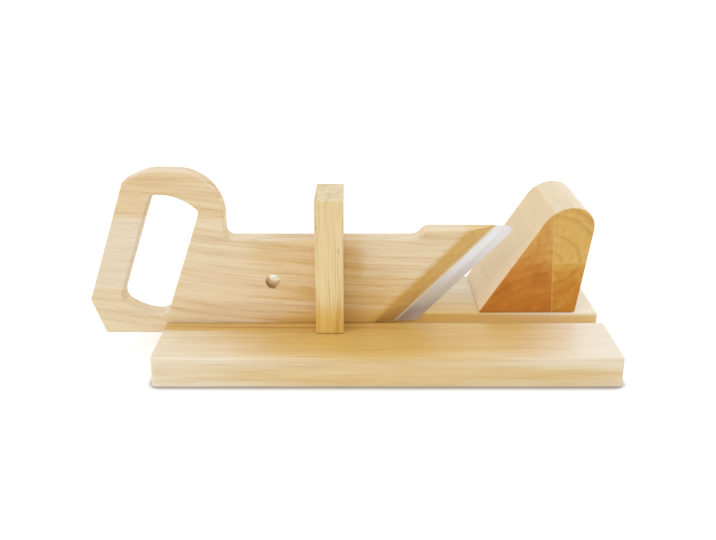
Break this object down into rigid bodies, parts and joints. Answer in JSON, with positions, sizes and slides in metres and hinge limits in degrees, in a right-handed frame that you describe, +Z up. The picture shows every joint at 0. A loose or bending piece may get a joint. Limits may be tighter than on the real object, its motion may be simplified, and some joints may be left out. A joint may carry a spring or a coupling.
{
  "type": "meat slicer",
  "caption": "Wooden sliding sausage slicer: a saw-handled shuttle with a slanted steel blade runs in a grooved base, through a bridge, past a sloping rest.",
  "frame": {"origin": "centre of the base board's underside, on the table", "axes": "+X along the groove to the right, towards the rest block; +Y to the back, away from the user; +Z up"},
  "size_m": [0.4323, 0.173, 0.1565],
  "materials": {
    "base_wood": "oiled, satin",
    "bridge_wood": "oiled, satin",
    "shuttle_wood": "oiled, satin",
    "rest_wood": "oiled, satin, end grain in front",
    "blade_steel": "brushed along its length",
    "screw_zinc": "zinc plated, dull"
  },
  "bodies": {
    "base": {"base_board": "base_wood", "guide_bridge": "bridge_wood", "rest_left_stave": "rest_wood", "rest_upper_stave": "rest_wood", "rest_lower_stave": "rest_wood", "guide_screw_1": "screw_zinc", "guide_screw_2": "screw_zinc", "guide_screw_3": "screw_zinc", "rest_screw_1": "screw_zinc", "rest_screw_2": "screw_zinc", "rest_screw_3": "screw_zinc", "rest_screw_4": "screw_zinc"},
    "shuttle": {"shuttle_low_stave": "shuttle_wood", "shuttle_grip_stave": "shuttle_wood", "shuttle_middle_stave": "shuttle_wood", "shuttle_crown_stave": "shuttle_wood", "blade": "blade_steel", "blade_screw_1": "screw_zinc", "blade_screw_2": "screw_zinc", "blade_screw_3": "screw_zinc"}
  },
  "joints": [
    {"name": "shuttle_slide", "type": "slide", "parent": "base", "child": "shuttle", "axis": [1, 0, 0], "range_m": [-0.059, 0.067]}
  ]
}
